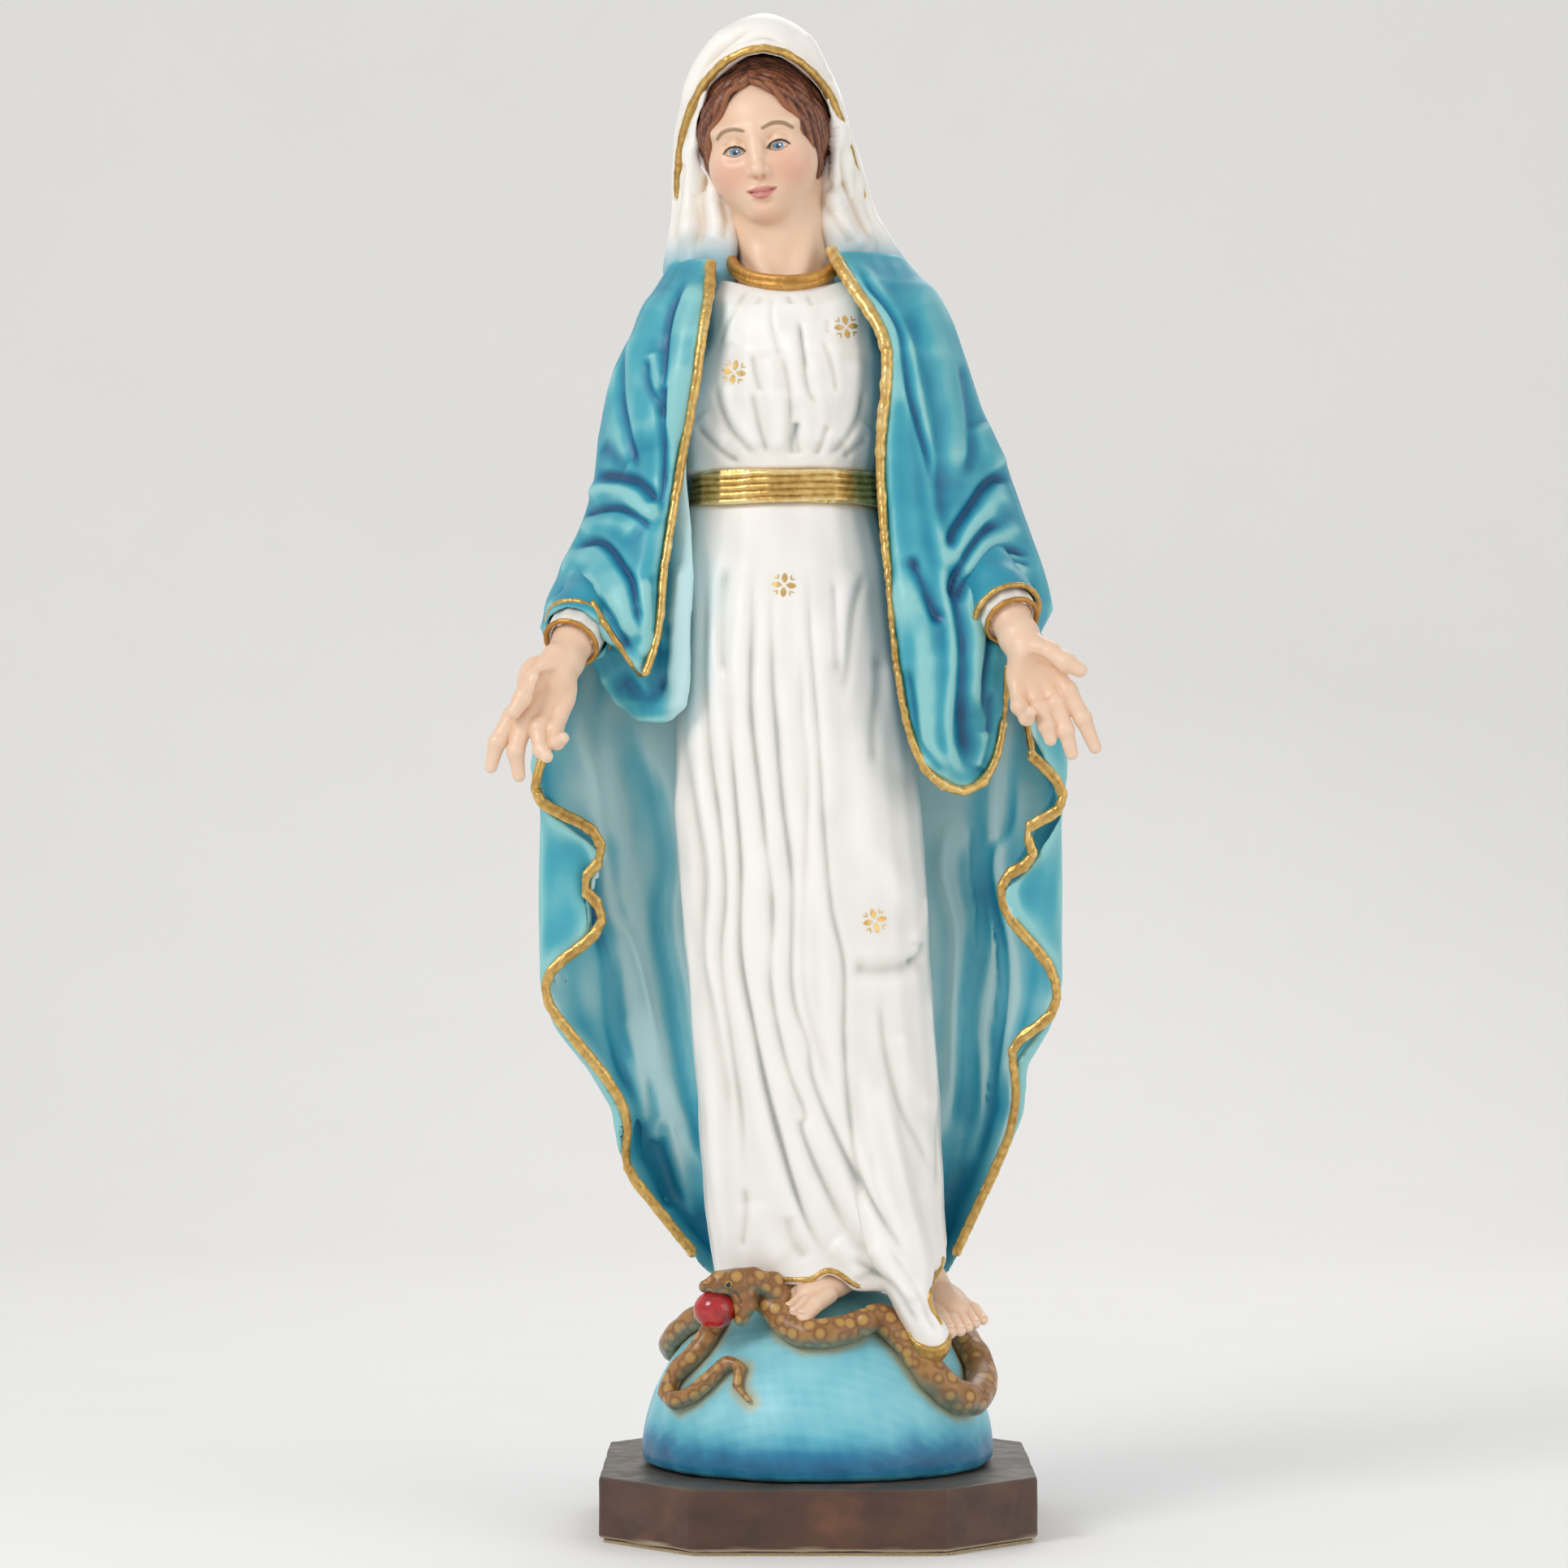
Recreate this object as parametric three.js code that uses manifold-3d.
// A free-standing devotional statue of a standing Madonna, cast in plaster and painted.
// Millimetres, +Z up. The origin is on the underside of the plinth, below the centre of the globe.
// -Y is the front. The figure's own right side is towards -X.
import * as THREE from "three";
import { mergeVertices } from "three/addons/utils/BufferGeometryUtils.js";
import Module from "manifold-3d";

const wasm = await Module();
wasm.setup();

// ---- Driving dimensions -------------------------------------------------------------------
const GAP = 0.4; // clearance between neighbouring castings, where the glue line is
const FELT_THICKNESS = 1.2;
const PLINTH_TOP = 25.3;
const PLINTH_FRONT = -82;
const PLINTH_BACK = 98;
const PLINTH_HALF_WIDTH = 84.6;
const PLINTH_CORNER = 36; // how far each corner of the plinth is cut back, both ways
const GLOBE_CENTRE = new THREE.Vector3(0, 0, 27);
const GLOBE_RADIUS = 70;
const HEM_HEIGHT = 96;
const WAIST_HEIGHT = 409;
const NECKLINE_HEIGHT = 497;
const CROWN_HEIGHT = 600;
const CLOTH_THICKNESS = 4.2;
const SASH_THICKNESS = 2.4;
const TRIM_RADIUS = 1.5;
const WRIST_PIN_RADIUS = 2;
const ROD_RADIUS = 4;

const FRAME_STEPS = 240; // how finely a path's direction is followed

// ---- Small geometry kit -------------------------------------------------------------------

// A smooth value read from [place, value] pairs, without overshoot between them.
function profile(pairs) {
  const at = pairs.map((p) => p[0]);
  const value = pairs.map((p) => p[1]);
  const slope = at.slice(1).map((a, i) => (value[i + 1] - value[i]) / (a - at[i]));
  const tangent = value.map((_, i) => {
    const before = slope[Math.max(i - 1, 0)];
    const after = slope[Math.min(i, slope.length - 1)];
    return before * after <= 0 ? 0 : (2 * before * after) / (before + after);
  });
  return (x) => {
    if (x <= at[0]) return value[0];
    if (x >= at[at.length - 1]) return value[value.length - 1];
    const i = at.findIndex((a) => a > x) - 1;
    const h = at[i + 1] - at[i];
    const t = (x - at[i]) / h;
    return (
      value[i] * (2 * t ** 3 - 3 * t ** 2 + 1) +
      h * tangent[i] * (t ** 3 - 2 * t ** 2 + t) +
      value[i + 1] * (3 * t ** 2 - 2 * t ** 3) +
      h * tangent[i + 1] * (t ** 3 - t ** 2)
    );
  };
}

// A closed solid made of rings: place(angle, share, spread) gives each point, where share runs from
// 0 at the first ring to 1 at the last, and spread is 0 at the middle of an end cap and 1 on a ring.
function rings(around, rows, place) {
  const geometry = new THREE.CylinderGeometry(1, 1, 1, around, rows);
  return moved(geometry, (p) => {
    const spread = Math.hypot(p.x, p.z) < 0.5 ? 0 : 1;
    return place(Math.atan2(p.x, p.z), p.y + 0.5, spread);
  });
}

// A closed solid made of two faces of cloth: place(across, up, outside) gives each point, where
// across and up run from 0 to 1, and outside is 1 on the outer face and 0 on the lining.
function sheet(across, up, place) {
  const geometry = new THREE.BoxGeometry(1, 1, 1, across, up, 1);
  return moved(geometry, (p) => place(p.x + 0.5, p.y + 0.5, p.z > 0 ? 1 : 0));
}

// The same geometry with every vertex moved to place(vertex).
function moved(geometry, place) {
  const position = geometry.getAttribute("position");
  const p = new THREE.Vector3();
  for (let i = 0; i < position.count; i++) {
    p.fromBufferAttribute(position, i);
    const q = place(p);
    position.setXYZ(i, q.x, q.y, q.z);
  }
  return geometry;
}

// A ball, stretched to three radii, turned and placed.
function ball(centre, radii, around = 16, turn = [0, 0, 0]) {
  const geometry = new THREE.SphereGeometry(1, around, Math.round(around * 0.6));
  geometry.scale(...radii);
  geometry.rotateX(turn[0]).rotateY(turn[1]).rotateZ(turn[2]);
  return geometry.translate(...centre);
}

// A round rod along a smooth path of [x, y, z, radius] points, with rounded ends.
function limb(points, sides = 10, steps = points.length * 3) {
  const path = new THREE.CatmullRomCurve3(points.map(([x, y, z]) => new THREE.Vector3(x, y, z)));
  const radius = profile(points.map((p, i) => [i / (points.length - 1), p[3]]));
  const frames = path.computeFrenetFrames(FRAME_STEPS);
  const cap = 1 / (steps + 2);
  return rings(sides, steps + 2, (angle, share, spread) => {
    const along = THREE.MathUtils.clamp((share - cap) / (1 - 2 * cap), 0, 1);
    const past = Math.max(cap - share, share - 1 + cap, 0) / cap;
    const t = path.getUtoTmapping(along);
    const i = Math.round(along * FRAME_STEPS);
    const reach = radius(t) * (1 - 0.45 * past) * spread;
    return path
      .getPoint(t)
      .addScaledVector(frames.tangents[i], radius(t) * past * 0.7 * Math.sign(share - 0.5))
      .addScaledVector(frames.normals[i], reach * Math.cos(angle))
      .addScaledVector(frames.binormals[i], reach * Math.sin(angle));
  });
}

// A merged copy with position only, which manifold-3d needs.
function welded(geometry) {
  const bare = geometry.index ? geometry.toNonIndexed() : geometry.clone();
  bare.deleteAttribute("normal");
  bare.deleteAttribute("uv");
  return mergeVertices(bare, 1e-3);
}

function solid(geometry) {
  const g = welded(geometry);
  const mesh = new wasm.Mesh({
    numProp: 3,
    vertProperties: g.attributes.position.array,
    triVerts: new Uint32Array(g.index.array),
  });
  return new wasm.Manifold(mesh);
}

// The geometry of the largest body of a solid.
function geometryOf(made) {
  const bodies = made.decompose().sort((a, b) => b.volume() - a.volume());
  const mesh = bodies[0].getMesh();
  const position = new Float32Array(mesh.numVert * 3);
  for (let i = 0; i < mesh.numVert; i++) {
    position.set(mesh.vertProperties.subarray(i * mesh.numProp, i * mesh.numProp + 3), i * 3);
  }
  const geometry = new THREE.BufferGeometry();
  geometry.setAttribute("position", new THREE.BufferAttribute(position, 3));
  geometry.setIndex(new THREE.BufferAttribute(mesh.triVerts, 1));
  return geometry;
}

const joined = (...geometries) =>
  geometryOf(geometries.map(solid).reduce((all, one) => all.add(one)));

// The geometry swollen outwards, so that what it cuts keeps a gap to it.
function swollen(geometry, by = GAP) {
  const g = welded(geometry);
  g.computeVertexNormals();
  const normal = g.getAttribute("normal");
  const position = g.getAttribute("position");
  for (let i = 0; i < position.count; i++) {
    position.setXYZ(
      i,
      position.getX(i) + normal.getX(i) * by,
      position.getY(i) + normal.getY(i) * by,
      position.getZ(i) + normal.getZ(i) * by,
    );
  }
  g.deleteAttribute("normal");
  return g;
}

// Casts each shape in turn, highest claim first: each is cut back from every shape before it.
function fitted(claims) {
  const taken = [];
  return claims.map(([name, finish, shape]) => {
    const body = solid(shape);
    const near = taken.filter((other) => touching(body.boundingBox(), other.boundingBox()));
    taken.push(solid(swollen(shape)));
    return [name, finish, geometryOf(near.reduce((left, other) => left.subtract(other), body))];
  });
}

const touching = (a, b) => [0, 1, 2].every((i) => a.min[i] <= b.max[i] && b.min[i] <= a.max[i]);

// ---- Plinth and globe ---------------------------------------------------------------------

function octagon(inset) {
  const w = PLINTH_HALF_WIDTH - inset;
  const front = PLINTH_FRONT + inset;
  const back = PLINTH_BACK - inset;
  const c = PLINTH_CORNER - inset * (2 - Math.SQRT2);
  return new THREE.Shape([
    new THREE.Vector2(-w + c, front),
    new THREE.Vector2(w - c, front),
    new THREE.Vector2(w, front + c),
    new THREE.Vector2(w, back - c),
    new THREE.Vector2(w - c, back),
    new THREE.Vector2(-w + c, back),
    new THREE.Vector2(-w, back - c),
    new THREE.Vector2(-w, front + c),
  ]);
}

function slab(inset, bottom, top) {
  const options = { depth: top - bottom, bevelEnabled: false };
  return new THREE.ExtrudeGeometry(octagon(inset), options).translate(0, 0, bottom);
}

const felt = slab(2, 0, FELT_THICKNESS);
const plinth = slab(0, FELT_THICKNESS + GAP, PLINTH_TOP);

function globeShape() {
  const bottom = PLINTH_TOP + GAP;
  const first = Math.asin((bottom - GLOBE_CENTRE.z) / GLOBE_RADIUS);
  const steps = 8;
  const outline = [new THREE.Vector2(0, bottom)];
  for (let i = 0; i <= steps; i++) {
    const angle = first + ((Math.PI / 2 - first) * i) / steps;
    const r = i === steps ? 0 : GLOBE_RADIUS * Math.cos(angle);
    outline.push(new THREE.Vector2(r, GLOBE_CENTRE.z + GLOBE_RADIUS * Math.sin(angle)));
  }
  return new THREE.LatheGeometry(outline, 28).rotateX(Math.PI / 2);
}

const globe = globeShape();

// ---- Serpent and apple --------------------------------------------------------------------

// A point over the globe: degrees round from the front towards +X, degrees up, and the lift off it.
function overGlobe(around, up, lift) {
  const a = THREE.MathUtils.degToRad(around);
  const e = THREE.MathUtils.degToRad(up);
  return new THREE.Vector3(Math.cos(e) * Math.sin(a), -Math.cos(e) * Math.cos(a), Math.sin(e))
    .multiplyScalar(GLOBE_RADIUS + lift)
    .add(GLOBE_CENTRE);
}

// [around, up, lift, body radius] from the neck, under both feet, round the back, to the tail.
const SERPENT_PATH = [
  [-32, 57, 10, 5.4],
  [-20, 54, 6, 5.6],
  [-12, 48, 4, 5.8],
  [-1, 46, 4, 6],
  [14, 49, 4, 6.2],
  [27, 54, 4, 6.4],
  [36, 49, 4, 6.5],
  [40, 39, 4, 6.6],
  [44, 29, 4, 6.7],
  [57, 21, 4, 6.8],
  [74, 26, 4, 6.8],
  [88, 37, 4, 6.6],
  [108, 40, 4, 6.4],
  [135, 32, 4, 6.2],
  [165, 25, 4, 6],
  [195, 27, 4, 5.8],
  [225, 30, 4, 5.5],
  [252, 34, 3.5, 5.2],
  [266, 40, 3.5, 5],
  [280, 50, 3.5, 4.8],
  [295, 54, 3.5, 4.6],
  [306, 46, 3.5, 4.4],
  [304, 36, 3, 4.2],
  [297, 26, 3, 4],
  [304, 21, 3, 3.8],
  [315, 26, 2.6, 3.5],
  [322, 35, 2.4, 3.2],
  [328, 38, 2.2, 2.9],
  [330, 32, 2, 2.5],
  [331, 26, 1.8, 2.1],
  [336, 24, 1.6, 1.6],
];

const APPLE_CENTRE = [-40, -46, 89.4];
const APPLE_RADIUS = 7.4;

function appleShape() {
  const steps = 8;
  const outline = [];
  for (let i = 0; i <= steps; i++) {
    const angle = Math.PI * (i / steps - 0.5);
    const dimple = 1 - 0.28 * Math.exp(-((Math.abs(angle) - Math.PI / 2) ** 2) * 9);
    const r = i === 0 || i === steps ? 0 : APPLE_RADIUS * Math.cos(angle);
    outline.push(new THREE.Vector2(r, APPLE_RADIUS * 0.95 * dimple * Math.sin(angle)));
  }
  const geometry = new THREE.LatheGeometry(outline, 18).rotateX(Math.PI / 2);
  return geometry.rotateY(-0.5).translate(...APPLE_CENTRE);
}

function serpentHeadShape() {
  const cranium = ball([-29, -43, 97.2], [9.5, 8.4, 6.4], 10, [0, 0.12, 0]);
  const snout = ball([-39, -45, 98.6], [9, 6.8, 3.8], 8, [0, -0.1, 0]);
  const jaw = ball([-32, -47, 88.5], [6, 6.5, 6.5], 8, [0, 0.5, 0]);
  return joined(cranium, snout, jaw);
}

function serpentBodyShape() {
  const points = SERPENT_PATH.map(([around, up, lift, radius]) => {
    const p = overGlobe(around, up, lift);
    return [p.x, p.y, p.z, radius];
  });
  return limb(points, 6, 54);
}

// ---- Feet ---------------------------------------------------------------------------------

// A bare foot: heel, instep and five toes, pointing along heading (radians from the front).
function footShape(ankle, heading, pitch, side) {
  const group = new THREE.Object3D();
  group.position.set(...ankle);
  group.rotation.set(pitch, 0, heading, "ZXY");
  group.updateMatrix();
  const instep = ball([0, -8, -1], [9.6, 17, 7.2], 12, [0.24, 0, 0]);
  const heel = ball([0, 6, 1], [7.5, 9, 9], 10);
  const toes = [0, 1, 2, 3, 4].map((i) => {
    const x = side * (-7 + i * 3.6);
    const tip = -29 + Math.abs(i - 0.7) * 2.1;
    const r = i === 0 ? 2.9 : 2.1 - i * 0.08;
    return limb([[x * 0.8, -16, -3.2, r], [x, tip + 5, -3.6, r], [x * 1.06, tip, -5.2, r * 0.9]], 6, 4);
  });
  return joined(instep, heel, ...toes).applyMatrix4(group.matrix);
}

const rightFoot = footShape([3, -25, 100], 0.3, 0.36, -1);
const leftFoot = footShape([52, -12, 98.5], -0.2, 0.42, 1);

// ---- Gown ---------------------------------------------------------------------------------

// The gown's right and left edges as the front shows them, and its front and back faces, by height.
const gownRight = profile([
  [HEM_HEIGHT, -40],
  [128, -44.7],
  [154, -46.6],
  [215, -50.8],
  [296, -57],
  [328, -54.3],
  [379, -47.9],
  [400, -45.5],
  [WAIST_HEIGHT, -44.3],
  [422, -46],
  [440, -47.3],
  [462, -45.6],
  [478, -41.5],
  [490, -36.2],
  [NECKLINE_HEIGHT, -32],
]);
const gownLeft = profile([
  [HEM_HEIGHT, 52.5],
  [128, 50.1],
  [154, 49.2],
  [225, 44.5],
  [266, 42.7],
  [299, 38.9],
  [347, 32.4],
  [379, 28.8],
  [400, 25],
  [WAIST_HEIGHT, 21.5],
  [422, 24.3],
  [440, 25.9],
  [458, 26.6],
  [472, 23.5],
  [484, 16.4],
  [NECKLINE_HEIGHT, 7],
]);
const gownFront = profile([
  [HEM_HEIGHT, -41],
  [154, -42],
  [215, -46],
  [240, -48],
  [300, -44.5],
  [347, -43],
  [379, -39],
  [400, -35.5],
  [WAIST_HEIGHT, -34],
  [422, -38],
  [440, -43],
  [458, -45],
  [475, -41],
  [487, -34],
  [NECKLINE_HEIGHT, -26],
]);
const GOWN_BACK = 16;

// A slice of the gown at a height, at an angle from the left side round by the front.
function gownPoint(angle, z, spread, out = 0) {
  const right = gownRight(z) - out;
  const left = gownLeft(z) + out;
  const front = gownFront(z) - out;
  const back = GOWN_BACK + out;
  const c = Math.cos(angle);
  const s = Math.sin(angle);
  const squared = (v) => Math.sign(v) * Math.abs(v) ** 0.82;
  const middle = (front + back) / 2 + 4;
  const depth = s > 0 ? middle - front : back - middle;
  const x = (left + right) / 2 + ((left - right) / 2) * squared(c) * spread;
  return new THREE.Vector3(x, middle - depth * squared(s) * spread, z);
}

function gownPiece(around, rows, bottom, top, out = 0) {
  return rings(around, rows, (angle, share, spread) =>
    gownPoint(-angle, bottom + (top - bottom) * share, spread, out),
  );
}

// The train of the gown, which falls between the feet over the front of the globe.
function trainShape() {
  return limb(
    [
      [17, -30, 185, 12],
      [22, -34, 150, 12],
      [29, -37, 122, 12],
      [36, -40, 100, 11],
      [42, -44, 84, 9],
      [44, -46, 78, 8],
    ],
    8,
    8,
  );
}

const skirt = joined(gownPiece(22, 10, HEM_HEIGHT, WAIST_HEIGHT - GAP / 2), trainShape());
const sash = geometryOf(
  solid(gownPiece(22, 1, WAIST_HEIGHT - 6.5, WAIST_HEIGHT + 6.5, SASH_THICKNESS)).subtract(
    solid(gownPiece(22, 2, WAIST_HEIGHT - 10, WAIST_HEIGHT + 10, -1.5)),
  ),
);
const bodice = gownPiece(22, 5, WAIST_HEIGHT + GAP / 2, NECKLINE_HEIGHT);

// ---- Head, hair and eyes ------------------------------------------------------------------

const HEAD_CENTRE = [-21, -9, 547];
const HEAD_TILT = [0.16, -0.13, -0.16]; // bowed forward, turned and inclined to the figure's right

function headShape() {
  const skull = ball([0, 2, 3], [24, 28, 29], 14);
  const face = ball([0, -8, -10], [20, 21, 25], 14);
  const chin = ball([0, -20, -28.5], [9, 7.5, 6.5], 8);
  const nose = ball([0, -28, -8], [3, 3.4, 8.5], 6, [-0.2, 0, 0]);
  const tilted = joined(skull, face, chin, nose);
  tilted.rotateX(HEAD_TILT[0]).rotateY(HEAD_TILT[1]).rotateZ(HEAD_TILT[2]);
  tilted.translate(...HEAD_CENTRE);
  const throat = [[-13, -5, 478, 19], [-13, -6, 498, 17.5], [-16, -7, 512, 17], [-19, -6, 535, 18]];
  const neck = limb(throat, 12, 3);
  const chest = ball([-13, -8, 490], [24, 18, 10], 10);
  return joined(tilted, neck, chest);
}

// A point given in the head's own frame, in the statue's frame.
function onHead(x, y, z) {
  const turn = new THREE.Matrix4()
    .makeRotationZ(HEAD_TILT[2])
    .multiply(new THREE.Matrix4().makeRotationY(HEAD_TILT[1]))
    .multiply(new THREE.Matrix4().makeRotationX(HEAD_TILT[0]));
  return new THREE.Vector3(x, y, z).applyMatrix4(turn).add(new THREE.Vector3(...HEAD_CENTRE));
}

const eyes = [-1, 1].map((side) => ball(onHead(side * 8.6, -23.4, -1.5).toArray(), [4, 4, 4], 8));

function hairShape() {
  const cap = ball([0, 3, 4], [27.5, 30, 32], 14);
  const fall = joined(
    limb([[-25, 0, 6, 4], [-26, 2, -12, 4.5], [-22, 6, -26, 4]], 5, 2),
    limb([[25, 0, 6, 4], [26, 2, -12, 4.5], [22, 6, -26, 4]], 5, 2),
  );
  const whole = joined(cap, fall);
  const faceWindow = ball([0, -32, -9], [21.5, 25, 30], 12);
  const open = solid(whole).subtract(solid(faceWindow));
  const geometry = geometryOf(open);
  geometry.rotateX(HEAD_TILT[0]).rotateY(HEAD_TILT[1]).rotateZ(HEAD_TILT[2]);
  return geometry.translate(...HEAD_CENTRE);
}

// ---- Mantle -------------------------------------------------------------------------------

// The cape from the shoulders to the globe. Each side has the outline that shows from the front,
// and the free edge, which runs in and out where the cloth falls in a cascade.
const capeRight = profile([
  [98, -43],
  [127, -66.4],
  [145, -78.6],
  [170, -82],
  [193, -100],
  [213, -109.5],
  [280, -109],
  [294, -114],
  [310, -113],
  [330, -108],
  [350, -103],
  [380, -92],
  [420, -80],
  [450, -70],
  [480, -56],
  [500, -42],
]);
const capeLeft = profile([
  [98, 52],
  [127, 66.6],
  [145, 73],
  [157, 80.4],
  [190, 82.5],
  [204, 96.7],
  [280, 96.6],
  [288, 99.6],
  [310, 98.6],
  [330, 95],
  [350, 89],
  [380, 80],
  [420, 68],
  [450, 54],
  [480, 40],
  [500, 24],
]);
const capeRightEdge = profile([
  [98, -42],
  [127, -64.9],
  [146, -77],
  [157, -74.8],
  [166, -77.1],
  [177, -83.4],
  [195, -97.7],
  [211, -107.9],
  [217, -107.9],
  [224, -100.9],
  [232, -89.8],
  [241, -84.1],
  [247, -85.7],
  [251, -93],
  [256, -93.3],
  [260, -86.6],
  [266, -84.4],
  [273, -86.6],
  [279, -94.5],
  [283, -106],
  [290, -112.5],
  [303, -108],
  [330, -100],
  [500, -40],
]);
const capeLeftEdge = profile([
  [98, 51],
  [120, 61.2],
  [145, 72.3],
  [157, 77],
  [174, 79],
  [187, 76.7],
  [193, 77.7],
  [200, 92],
  [210, 95],
  [218, 93.6],
  [230, 85],
  [241, 75.5],
  [252, 71.6],
  [257, 73.2],
  [261, 86.6],
  [268, 85.3],
  [273, 79.3],
  [277, 80.9],
  [282, 95.5],
  [287, 98],
  [296, 92.9],
  [306, 82.8],
  [330, 80],
  [500, 22],
]);
const capeEdgeFront = profile([
  [98, 2],
  [145, -8],
  [200, -18],
  [250, -23],
  [300, -27],
  [340, -20],
  [400, -12],
  [500, -8],
]);
const capeBack = profile([
  [98, 34],
  [150, 44],
  [250, 50],
  [360, 48],
  [450, 46],
  [485, 41],
  [500, 34],
]);
const CAPE_BOTTOM = 98;
const CAPE_TOP = 500;

// A slice of the cape from its right edge, round the back, to its left edge.
function capeSlice(z, outside) {
  const inset = outside ? 0 : CLOTH_THICKNESS;
  const back = outside ? capeBack(z) : GOWN_BACK + 1.5;
  const front = capeEdgeFront(z);
  const side = (edge, outline, sign) => {
    const turn = outline - sign * inset;
    const reach = Math.abs(outline - edge);
    const deep = outside ? Math.min(9, 3 + reach) : 7 + CLOTH_THICKNESS;
    return [
      [edge, front + inset * 0.8],
      [turn, front + deep],
      [turn * 0.93 + (outside ? 0 : -sign * 3), front + deep + 14],
      [turn * 0.62 + (outside ? 0 : -sign * 2), back * (outside ? 0.86 : 0.7)],
    ];
  };
  const right = side(capeRightEdge(z), capeRight(z), -1);
  const left = side(capeLeftEdge(z), capeLeft(z), 1);
  const middle = (capeRight(z) + capeLeft(z)) / 2;
  const all = [...right, [middle, back], ...left.reverse()];
  return new THREE.CatmullRomCurve3(
    all.map(([x, y]) => new THREE.Vector3(x, y, z)),
    false,
    "centripetal",
  );
}

function capeShape() {
  const slices = new Map();
  return sheet(14, 24, (across, up, outside) => {
    const z = CAPE_BOTTOM + (CAPE_TOP - CAPE_BOTTOM) * up;
    const key = `${up.toFixed(5)} ${outside}`;
    if (!slices.has(key)) slices.set(key, capeSlice(z, outside === 1));
    return slices.get(key).getPoint(1 - across);
  });
}

// A fold of cloth between two long edges. Each row is [share, right end, left end, bulge to the
// front, bulge to the back, sag], where an end is [x, y, z].
function foldShape(around, steps, rows) {
  const column = (read) => profile(rows.map((row) => [row[0], read(row)]));
  const end = (k) => [0, 1, 2].map((axis) => column((row) => row[k][axis]));
  const rightEnd = end(1);
  const leftEnd = end(2);
  const front = column((row) => row[3]);
  const back = column((row) => row[4]);
  const sag = column((row) => row[5] ?? 0);
  return rings(around, steps, (angle, fromBottom, spread) => {
    const share = 1 - fromBottom;
    const c = Math.cos(angle) * spread;
    const s = Math.sin(angle) * spread;
    const [x, y, z] = [0, 1, 2].map((axis) => {
      const middle = (rightEnd[axis](share) + leftEnd[axis](share)) / 2;
      return middle - ((rightEnd[axis](share) - leftEnd[axis](share)) / 2) * c;
    });
    const bulge = s > 0 ? back(share) * s : front(share) * s;
    return new THREE.Vector3(x, y + bulge, z + sag(share) * (1 - c * c));
  });
}

// The mantle over the right arm, from the shoulder to the sleeve's mouth at the wrist.
const rightFold = foldShape(14, 10, [
  [0, [-58, -2, 502], [-42, -18, 500], 5, 12],
  [0.1, [-68, -3, 485], [-43, -34, 483], 12, 20],
  [0.2, [-76.5, -3, 468], [-45.5, -41, 468], 13, 24],
  [0.3, [-82.8, -2, 450], [-47.8, -43, 451], 14, 26],
  [0.4, [-87.5, 0, 431], [-51.5, -41, 432], 15, 28],
  [0.5, [-89.5, 2, 412], [-55, -39, 413], 16, 30],
  [0.6, [-95, 0, 394], [-58, -41, 394], 17, 30],
  [0.7, [-101, -6, 377], [-60.7, -44, 376], 18, 28],
  [0.8, [-107, -14, 364], [-61.3, -46, 361], 18, 24],
  [0.9, [-109.5, -22, 354], [-63, -48, 347.5], 14, 18, 6],
  [1, [-106.5, -28, 349], [-67.4, -50, 333.5], 8, 12, 11],
]);

// The lining of the right sleeve, which hangs below its mouth.
const rightLining = foldShape(14, 8, [
  [0, [-62, -28, 420], [-46.3, -36, 420], 3, 10],
  [0.35, [-70, -26, 380], [-47.5, -40, 378], 4, 12],
  [0.55, [-94, -22, 352], [-49.2, -42, 352], 6, 14],
  [0.75, [-86, -20, 336], [-49.6, -42, 333], 8, 14],
  [0.9, [-78, -22, 323], [-51.5, -40, 321], 8, 12],
  [1, [-70, -26, 317.5], [-57, -36, 317], 5, 6],
]);

// The mantle over the left arm. Below the wrist it hangs in one deep rounded fold.
const leftFold = foldShape(14, 12, [
  [0, [5, -14, 504], [34, -2, 504], 5, 12],
  [0.08, [11, -30, 491], [46.5, -3, 490], 11, 20],
  [0.16, [19.5, -37, 478], [54.2, -3, 476], 12, 24],
  [0.24, [27, -42, 464], [59.5, -2, 462], 13, 26],
  [0.32, [27, -43, 446], [64.5, -1, 446], 14, 28],
  [0.4, [24.8, -41, 428], [73, 0, 429], 15, 30],
  [0.46, [25, -39, 413], [79.4, 2, 412], 16, 30],
  [0.54, [26, -42, 392], [85, 0, 394], 17, 30],
  [0.62, [28, -45, 372], [90.5, -6, 374], 18, 28],
  [0.7, [29.3, -47, 352], [93, -16, 354], 18, 22],
  [0.76, [31, -48, 336], [82, -26, 340], 15, 18],
  [0.84, [34.5, -48, 316], [73.5, -30, 320], 12, 16],
  [0.93, [41, -46, 299], [70, -30, 303], 10, 12],
  [1, [53, -42, 291], [63, -36, 292], 4, 4],
]);

// A rounded trim along the places where a cloth ends.
const trim = (points, steps, radius = TRIM_RADIUS) =>
  limb(points.map(([x, y, z]) => [x, y, z, radius]), 5, steps);

function capeTrim(edge, sign) {
  const heights = [];
  for (let z = 107; z <= 305; z += 6) heights.push(z);
  return trim(
    heights.map((z) => [edge(z) + sign * 0.6, capeEdgeFront(z) + 1, z]),
    heights.length,
    TRIM_RADIUS * 1.3,
  );
}

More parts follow.
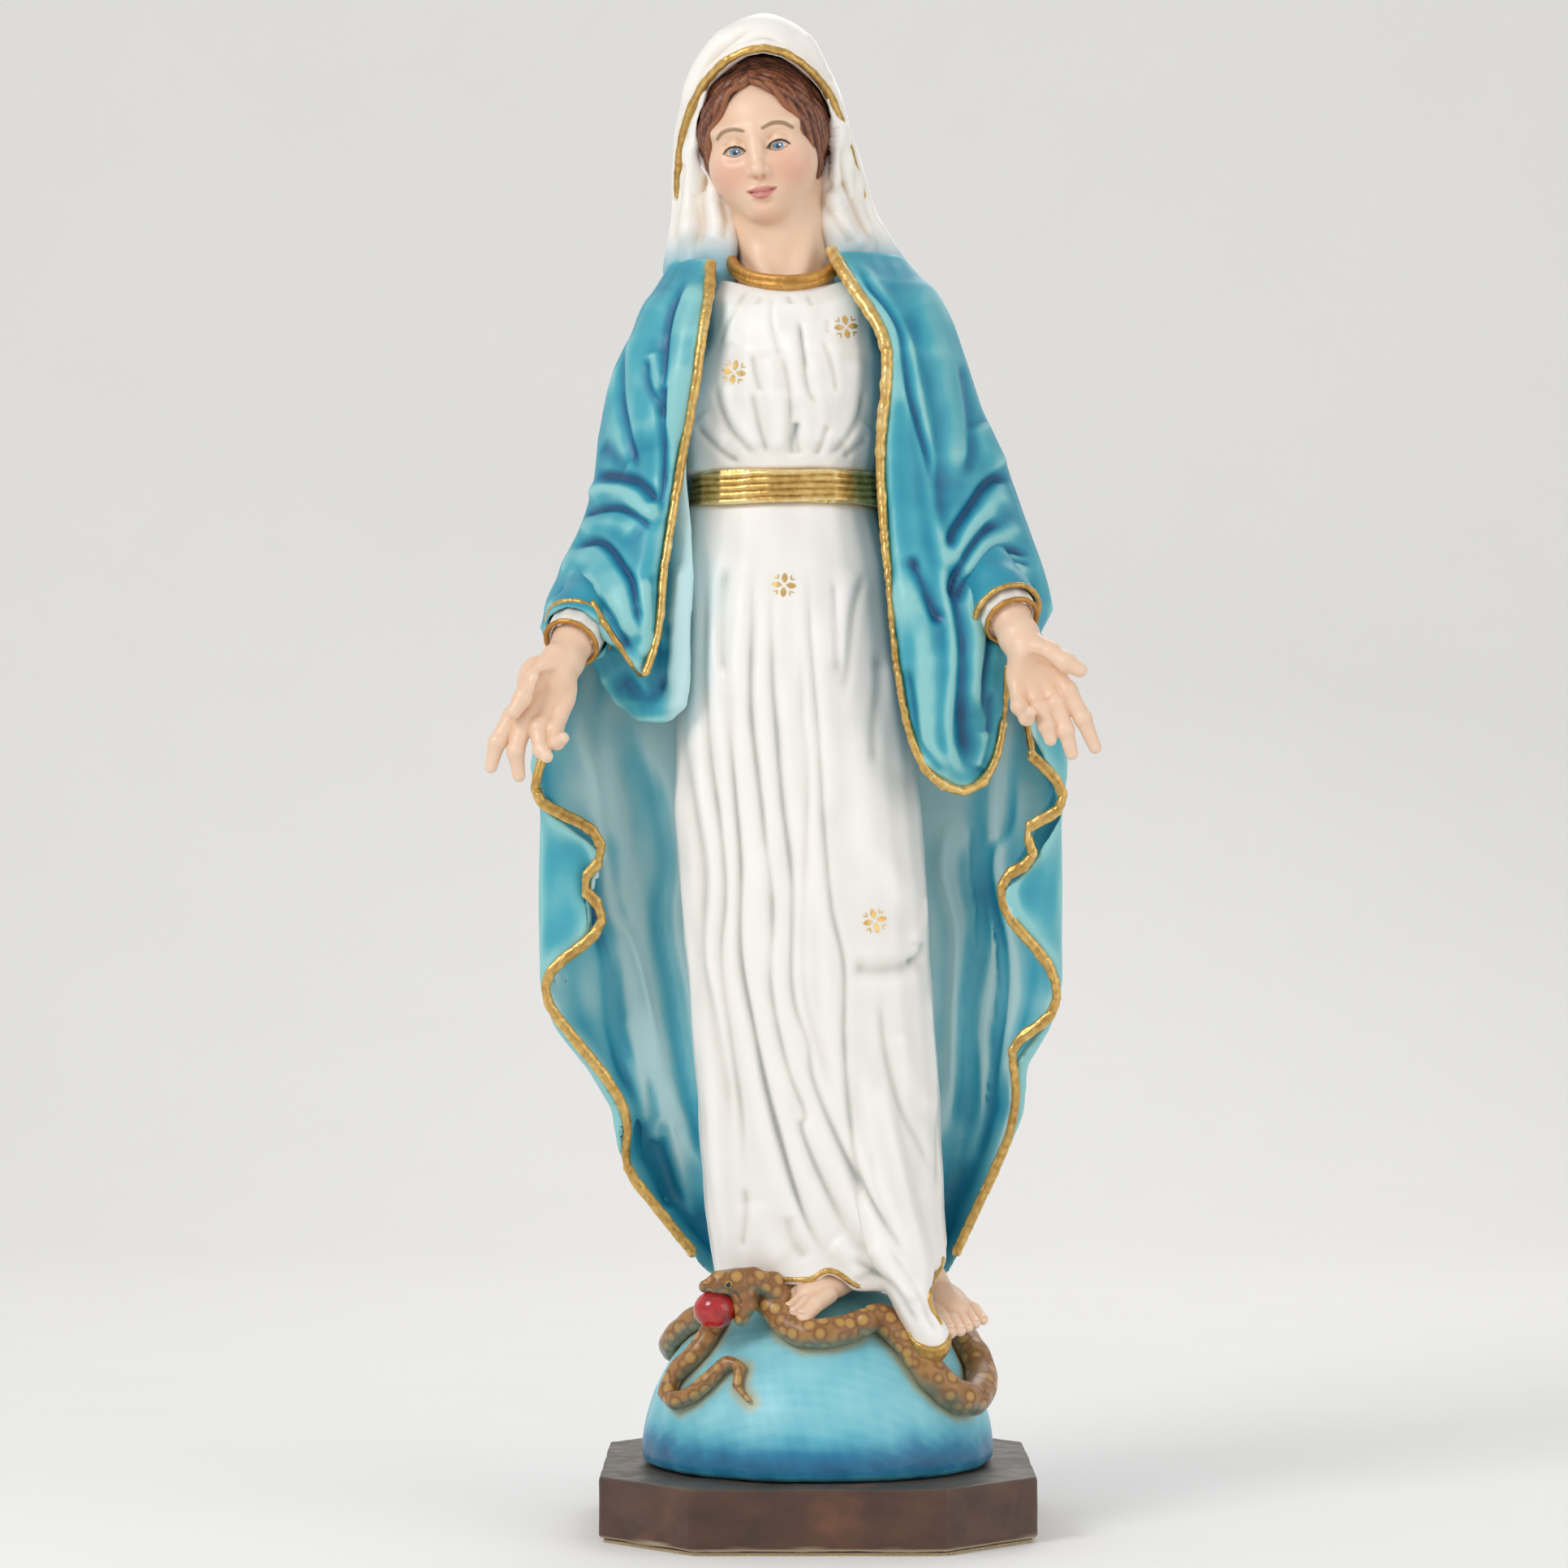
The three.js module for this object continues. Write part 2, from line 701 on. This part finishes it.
const rightFrontTrim = trim(
  [
    [-42, -24, 498],
    [-42.6, -36.5, 483],
    [-45, -43, 468],
    [-47, -45.5, 451],
    [-50.5, -43.5, 432],
    [-54, -41.5, 413],
    [-57, -43, 394],
    [-59.8, -46, 376],
    [-60.8, -48.5, 361],
    [-62.6, -51, 347],
    [-66.9, -53, 334.2],
  ],
  20,
);
const leftFrontTrim = trim(
  [
    [5, -22, 503.5],
    [11, -33.5, 491],
    [19.2, -40.5, 478],
    [26.4, -45, 464],
    [26.6, -46, 446],
    [24.3, -43.8, 428],
    [24.5, -41.8, 413],
    [25.5, -44.6, 392],
    [27.4, -47.6, 372],
    [28.8, -49.6, 352],
    [30.6, -50.8, 336],
    [34.2, -51, 316],
    [40.6, -49.5, 299],
    [50, -46, 290.6],
    [60, -42, 289.6],
    [68, -38, 299],
    [72.6, -35, 318],
  ],
  30,
);

// ---- Hands and cuffs ----------------------------------------------------------------------

// Each finger is a chain of [x, y, z, radius] joints.
function handShape(palm, turn, fingers) {
  const [centre, radii] = palm;
  return joined(ball(centre, radii, 10, turn), ...fingers.map((f) => limb(f, 6, f.length + 1)));
}

const rightHand = handShape(
  [[-104, -56.5, 329], [12, 5.6, 14]],
  [0.1, 0.5, 0],
  [
    [[-91, -40, 356, 8], [-94.5, -47, 348, 7.6], [-98, -53, 340, 7.6], [-102, -56, 332, 7]],
    [[-101, -57, 341, 5], [-108, -62, 332, 4.6], [-113, -65.5, 325, 3.6], [-116.5, -67.5, 319.5, 2.7]],
    [[-110, -56, 326, 4.2], [-117.5, -59, 318, 3.6], [-123.5, -62, 308, 3], [-126.6, -61, 298, 2.3]],
    [[-107, -57, 324, 4.2], [-113.3, -60.5, 315, 3.6], [-116, -63, 304.5, 3], [-114.8, -62, 294.8, 2.3]],
    [[-103, -57, 323, 4.1], [-107.5, -61.5, 313.5, 3.5], [-106, -65.5, 305, 2.9], [-103.8, -69, 302.4, 2.4]],
    [[-98, -56, 324, 4], [-101.3, -61, 313, 3.2], [-100, -66, 308, 2.6], [-97, -70, 309.4, 2.2]],
  ],
);
const leftHand = handShape(
  [[83.5, -56.5, 335], [12, 5.6, 14]],
  [0.1, -0.5, 0],
  [
    [[71, -40, 364, 8], [74, -47, 357, 7.6], [77.5, -53, 349, 7.6], [81.5, -56, 341, 7]],
    [[81, -57, 346, 5], [88.5, -62, 342, 4.4], [94.5, -65.5, 338.5, 3.6], [100.5, -67.5, 335.4, 2.6]],
    [[89, -56, 336, 4.2], [95.6, -59, 328, 3.6], [101.5, -62, 317, 3], [106.8, -61, 305.4, 2.3]],
    [[86, -57, 332, 4.2], [91, -60.5, 323, 3.6], [94.6, -63, 312.5, 3], [97.2, -62, 303.4, 2.3]],
    [[82, -57, 331, 4.1], [85.2, -61.5, 321.5, 3.4], [87.2, -64, 314.5, 2.9], [88.8, -64, 309, 2.3]],
    [[77, -56, 332, 4], [77.2, -61, 322, 3.2], [79.6, -66, 317.2, 2.7], [81, -70, 319.8, 2.2]],
  ],
);

// A cuff is a short open tube round the wrist, with a gilded band at its mouth.
function cuffShape(points, wall) {
  const outer = limb(points, 10, 2);
  const inner = limb(points.map(([x, y, z, r]) => [x, y, z, r - wall]), 10, 2);
  const reach = 14;
  const [a, b] = [points[0], points[points.length - 1]];
  const along = new THREE.Vector3(b[0] - a[0], b[1] - a[1], b[2] - a[2]).normalize();
  const mouth = new THREE.CylinderGeometry(reach * 2, reach * 2, reach, 6);
  const aim = new THREE.Quaternion().setFromUnitVectors(new THREE.Vector3(0, 1, 0), along);
  mouth.applyQuaternion(aim);
  const end = new THREE.Vector3(b[0], b[1], b[2]).addScaledVector(along, reach / 2);
  mouth.translate(end.x, end.y, end.z);
  return geometryOf(solid(outer).subtract(solid(mouth)).subtract(solid(inner)));
}

const CUFF_WALL = 2;
const RIGHT_CUFF = [[-88, -32, 362, 11.5], [-91.5, -40, 355, 11.4], [-95.5, -48.5, 347, 11]];
const LEFT_CUFF = [[67, -32, 371, 11.5], [70.5, -40, 364, 11.4], [75, -48.5, 355.5, 11]];

function bandShape(cuff) {
  const [a, b] = [cuff[0], cuff[cuff.length - 1]];
  const along = new THREE.Vector3(b[0] - a[0], b[1] - a[1], b[2] - a[2]).normalize();
  const ring = new THREE.TorusGeometry(b[3] - 0.4, TRIM_RADIUS, 5, 14);
  ring.applyQuaternion(new THREE.Quaternion().setFromUnitVectors(new THREE.Vector3(0, 0, 1), along));
  return ring.translate(b[0], b[1], b[2]);
}

const pinShape = (from, to) => limb([[...from, WRIST_PIN_RADIUS], [...to, WRIST_PIN_RADIUS]], 6, 1);
const rightPin = pinShape([-80, -22, 374], [-95.5, -49, 345]);
const leftPin = pinShape([58, -22, 384], [75, -49, 354]);
// ---- Veil ---------------------------------------------------------------------------------

const VEIL_BOTTOM = 438;
const veilRight = profile([
  [VEIL_BOTTOM, -50],
  [470, -54],
  [498, -61.5],
  [515, -57.7],
  [531, -56.2],
  [550, -55.8],
  [563, -54.8],
  [575, -51.5],
  [586, -46],
  [594, -37.5],
  [CROWN_HEIGHT, -24],
]);
const veilLeft = profile([
  [VEIL_BOTTOM, 26],
  [470, 32],
  [498, 38],
  [510, 30],
  [521, 22.4],
  [536, 17.6],
  [553, 13.2],
  [571, 8.4],
  [582, 4],
  [592, -3.5],
  [CROWN_HEIGHT, -18],
]);
const veilFront = profile([
  [VEIL_BOTTOM, 38],
  [482, 34],
  [496, 4],
  [502, -16],
  [530, -20],
  [560, -30],
  [578, -36],
  [590, -32],
  [CROWN_HEIGHT, -12],
]);
const veilBack = profile([
  [VEIL_BOTTOM, 52],
  [470, 52],
  [500, 44],
  [520, 36],
  [560, 37],
  [585, 28],
  [595, 14],
  [CROWN_HEIGHT, -4],
]);

function domeShape() {
  return rings(20, 10, (angle, share, spread) => {
    const z = VEIL_BOTTOM + (CROWN_HEIGHT - VEIL_BOTTOM) * (1 - (1 - share) ** 1.35);
    const c = Math.cos(angle) * spread;
    const s = Math.sin(angle) * spread;
    const x = (veilRight(z) + veilLeft(z)) / 2 + ((veilLeft(z) - veilRight(z)) / 2) * c;
    const middle = (veilFront(z) + veilBack(z)) / 2;
    const depth = (veilBack(z) - veilFront(z)) / 2;
    return new THREE.Vector3(x, middle + depth * s, z);
  });
}

// The hollow that the head, the hair and the neck fill.
const HOLLOW_RIGHT = profile([
  [470, -38],
  [500, -35.5],
  [512, -37],
  [524, -40],
  [535, -44.5],
  [545, -47.8],
  [556, -48.6],
  [566, -46.4],
  [574, -41.5],
  [581, -32],
  [585, -22],
]);
const HOLLOW_LEFT = profile([
  [470, 8],
  [500, 6],
  [512, 5.4],
  [524, 6],
  [535, 8],
  [545, 9.4],
  [556, 8.6],
  [566, 5.4],
  [574, 0],
  [581, -9],
  [585, -18],
]);

function hollowShape() {
  return rings(14, 7, (angle, share, spread) => {
    const z = 470 + 115 * share;
    const c = Math.cos(angle) * spread;
    const s = Math.sin(angle) * spread;
    const middle = (HOLLOW_RIGHT(z) + HOLLOW_LEFT(z)) / 2;
    const half = (HOLLOW_LEFT(z) - HOLLOW_RIGHT(z)) / 2;
    return new THREE.Vector3(middle + half * c, s > 0 ? 25 * s : 70 * s, z);
  });
}

const hoodShape = () => geometryOf(solid(domeShape()).subtract(solid(hollowShape())));

// How far forward the veil's outside is at a place seen from the front.
function veilFace(x, z) {
  const middle = (veilFront(z) + veilBack(z)) / 2;
  const across = (x - (veilRight(z) + veilLeft(z)) / 2) / ((veilLeft(z) - veilRight(z)) / 2);
  return middle - ((veilBack(z) - veilFront(z)) / 2) * Math.sqrt(Math.max(1 - across ** 2, 0));
}

// The gilded hem of the veil round the face, on the veil's front edge.
const veilTrim = trim(
  [
    [-55.4, 528],
    [-54.6, 545],
    [-51, 558],
    [-45.3, 568],
    [-38, 575],
    [-30, 579.2],
    [-21.5, 580.8],
    [-11, 578.4],
    [-2.6, 573],
    [4.6, 566],
    [9, 556],
    [13.4, 543],
    [18, 527],
  ].map(([x, z]) => [x, veilFace(x, z), z]),
  20,
  1.8,
);

const neckTrim = trim(
  [
    [-34, -17, 499],
    [-31, -24.5, 494],
    [-23, -31.5, 490],
    [-12, -34.5, 488.6],
    [-1.5, -31.5, 490.2],
    [5.5, -24.5, 494.6],
    [8, -17, 500],
  ],
  16,
  2,
);

const hemTrim = trim([[34, -51, 79], [38, -54, 73], [44, -54.5, 70.6], [50, -52, 73], [53, -47, 80]], 8, 2.2);

// ---- Core ---------------------------------------------------------------------------------

const ROD_BOTTOM = 60;
const ROD_TOP = 520;
const rod = new THREE.CylinderGeometry(ROD_RADIUS, ROD_RADIUS, ROD_TOP - ROD_BOTTOM, 12)
  .rotateX(Math.PI / 2)
  .translate(-9, 2, (ROD_TOP + ROD_BOTTOM) / 2);

// ---- Materials and the finished group -----------------------------------------------------

const paint = (color, roughness, metalness = 0) =>
  new THREE.MeshStandardMaterial({ color, roughness, metalness });

const finishes = {
  felt: paint(0xd8cfc0, 0.95),
  bronze: paint(0x4a3126, 0.45, 0.25),
  globe: paint(0x5fb6cc, 0.6),
  serpent: paint(0x9a7440, 0.5),
  apple: paint(0xa31820, 0.35),
  skin: paint(0xe8c2a2, 0.55),
  ivory: paint(0xf0ede8, 0.6),
  blue: paint(0x1f8fb4, 0.5),
  lining: paint(0x8cc9d2, 0.6),
  gold: paint(0xb08638, 0.3, 0.85),
  hair: paint(0x5d3420, 0.6),
  eye: paint(0xf4f2ee, 0.12),
  steel: paint(0x8a8c8e, 0.4, 0.9),
};

const claims = [
  ["core_rod", "steel", rod],
  ["felt_pad", "felt", felt],
  ["plinth", "bronze", plinth],
  ["globe", "globe", globe],
  ["apple", "apple", appleShape()],
  ["right_foot", "skin", rightFoot],
  ["left_foot", "skin", leftFoot],
  ["right_hand_pin", "steel", rightPin],
  ["left_hand_pin", "steel", leftPin],
  ["right_hand", "skin", rightHand],
  ["left_hand", "skin", leftHand],
  ["right_cuff_band", "gold", bandShape(RIGHT_CUFF)],
  ["left_cuff_band", "gold", bandShape(LEFT_CUFF)],
  ["right_cuff", "ivory", cuffShape(RIGHT_CUFF, CUFF_WALL)],
  ["left_cuff", "ivory", cuffShape(LEFT_CUFF, CUFF_WALL)],
  ["gown_hem_trim", "gold", hemTrim],
  ["neckline_trim", "gold", neckTrim],
  ["mantle_right_front_trim", "gold", rightFrontTrim],
  ["mantle_left_front_trim", "gold", leftFrontTrim],
  ["mantle_right_edge_trim", "gold", capeTrim(capeRightEdge, 1)],
  ["mantle_left_edge_trim", "gold", capeTrim(capeLeftEdge, -1)],
  ["veil_trim", "gold", veilTrim],
  ["sash", "gold", sash],
  ["right_eye", "eye", eyes[0]],
  ["left_eye", "eye", eyes[1]],
  ["head", "skin", headShape()],
  ["hair", "hair", hairShape()],
  ["gown_skirt", "ivory", skirt],
  ["gown_bodice", "ivory", bodice],
  ["serpent_head", "serpent", serpentHeadShape()],
  ["serpent_body", "serpent", serpentBodyShape()],
  ["veil", "ivory", hoodShape()],
  ["mantle_right_fold", "blue", rightFold],
  ["mantle_left_fold", "blue", leftFold],
  ["right_sleeve_lining", "lining", rightLining],
  ["mantle_cape", "blue", capeShape()],
];

const statue = new THREE.Group();
for (const [name, finish, geometry] of fitted(claims)) {
  const mesh = new THREE.Mesh(geometry, finishes[finish]);
  mesh.name = name;
  statue.add(mesh);
}

export default statue;
